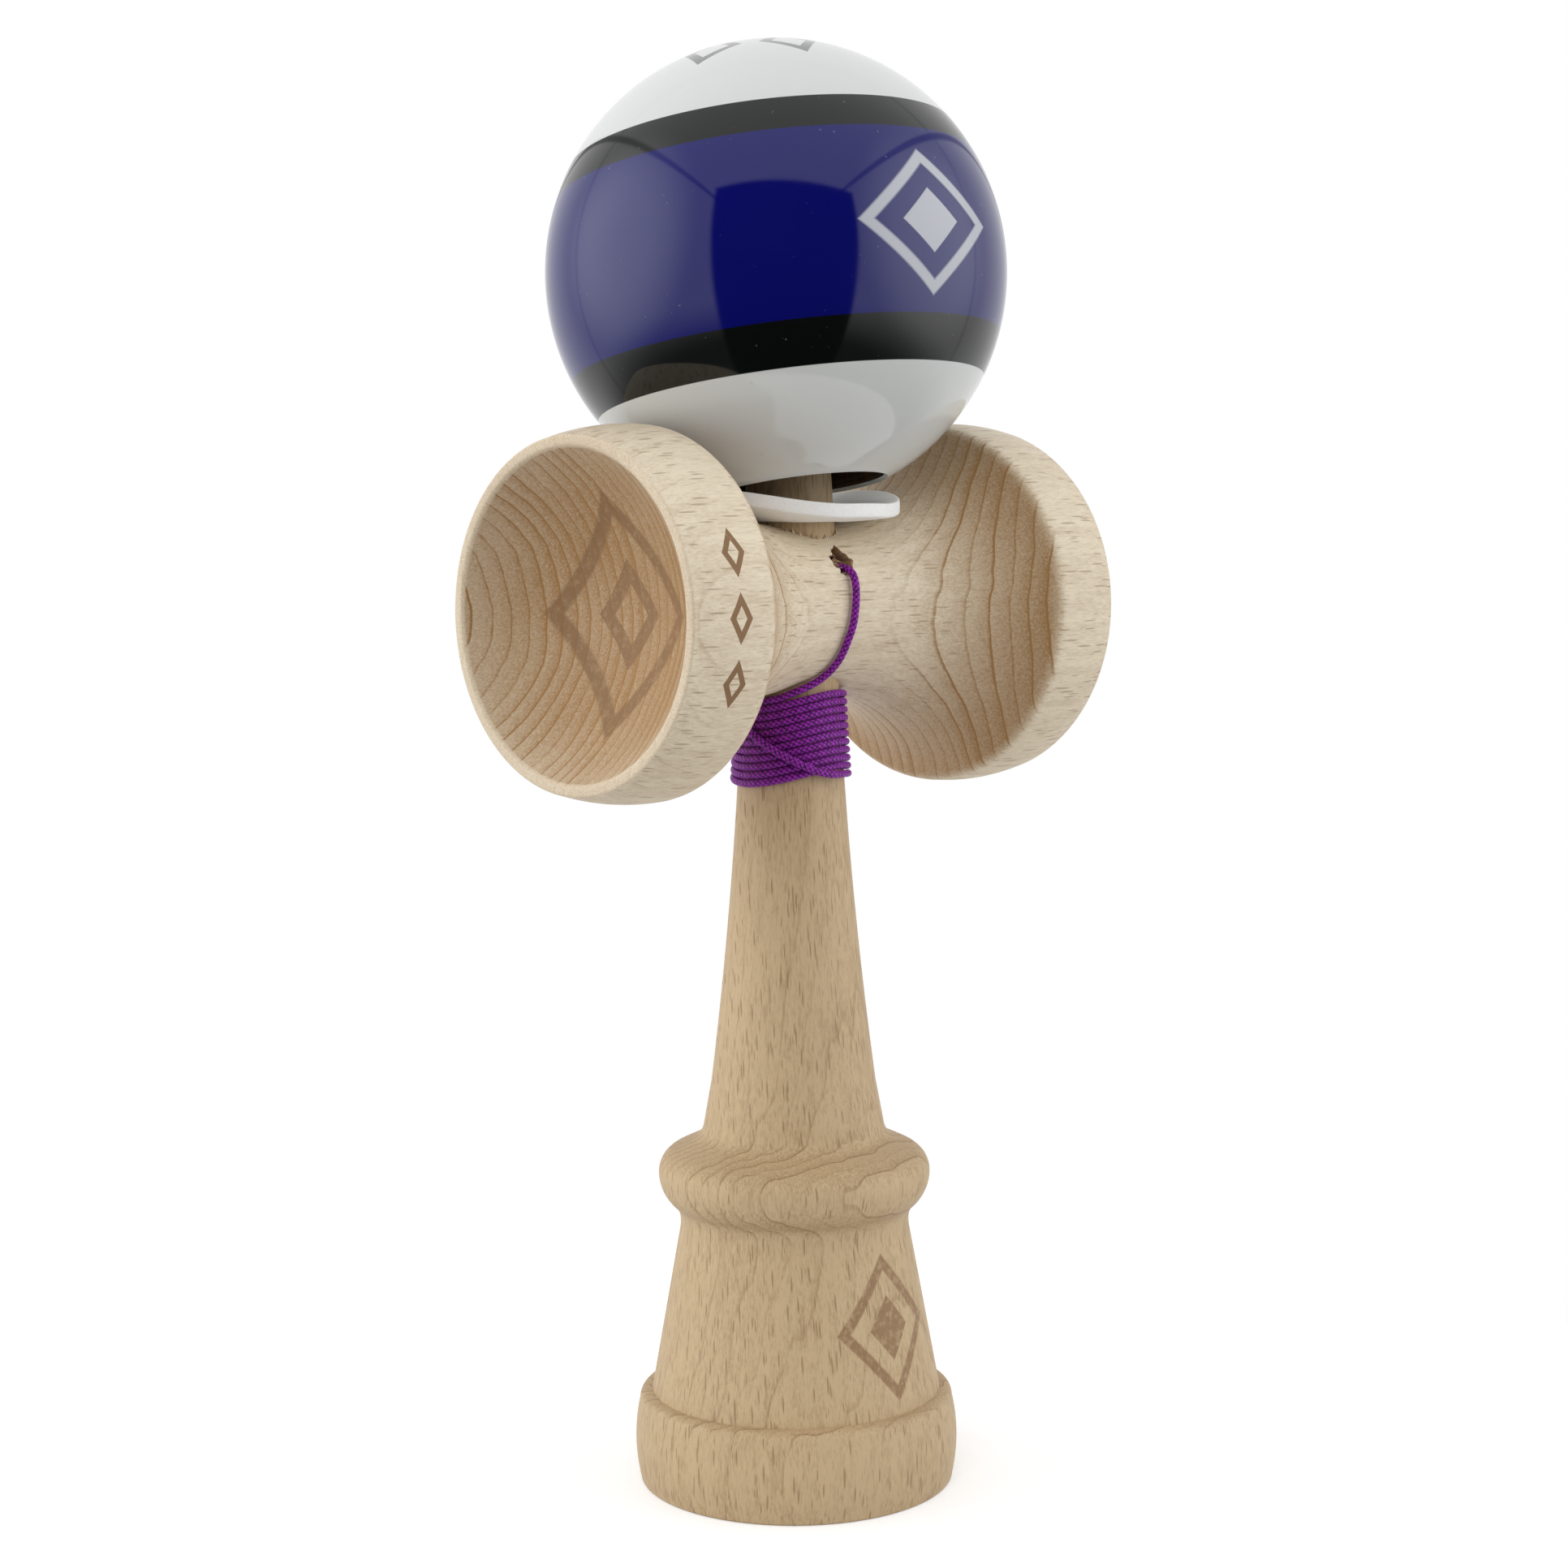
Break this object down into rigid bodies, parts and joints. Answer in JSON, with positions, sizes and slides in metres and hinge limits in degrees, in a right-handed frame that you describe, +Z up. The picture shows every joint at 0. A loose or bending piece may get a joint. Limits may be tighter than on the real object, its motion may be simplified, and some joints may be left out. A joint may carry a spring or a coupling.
{
  "type": "kendama",
  "caption": "Wooden skill toy: a turned handle with a spike and base cup, a crossbar with two cups, and a lacquered bored ball tied on by a wound string.",
  "frame": {"origin": "on the handle's axis, at the flat rim of the base cup that the toy stands on", "axes": "+Z up along the handle to the spike, +X along the crossbar to the big cup, -Y the front with the string hole"},
  "size_m": [0.0764, 0.0613, 0.1911],
  "materials": {
    "beech": "bare sanded beech with short dark flecks",
    "lacquer": "glossy lacquer in bands of white, black and violet over turned wood",
    "soft_ring": "soft matt white sheet",
    "braid": "fine braided cord",
    "bead_wood": "bare sanded wood"
  },
  "bodies": {
    "handle": {"ken": "beech", "sarado": "beech", "washer": "soft_ring", "string_lead": "braid", "string_winding": "braid", "string_rise": "braid", "anchor_knot": "braid"},
    "tether": {"string_over_ball": "braid", "bead": "bead_wood", "bead_knot": "braid"},
    "ball": {"tama": "lacquer"}
  },
  "joints": [
    {"name": "ball_lift", "type": "slide", "parent": "handle", "child": "tether", "axis": [0, 0, 1], "range_m": [0, 0.045], "deforming": ["string_rise"]},
    {"name": "ball_spin", "type": "hinge", "parent": "tether", "child": "ball", "pos_m": [-0.002, 0, 0.1605], "axis": [0, 0.1564, 0.9877], "continuous": true}
  ]
}
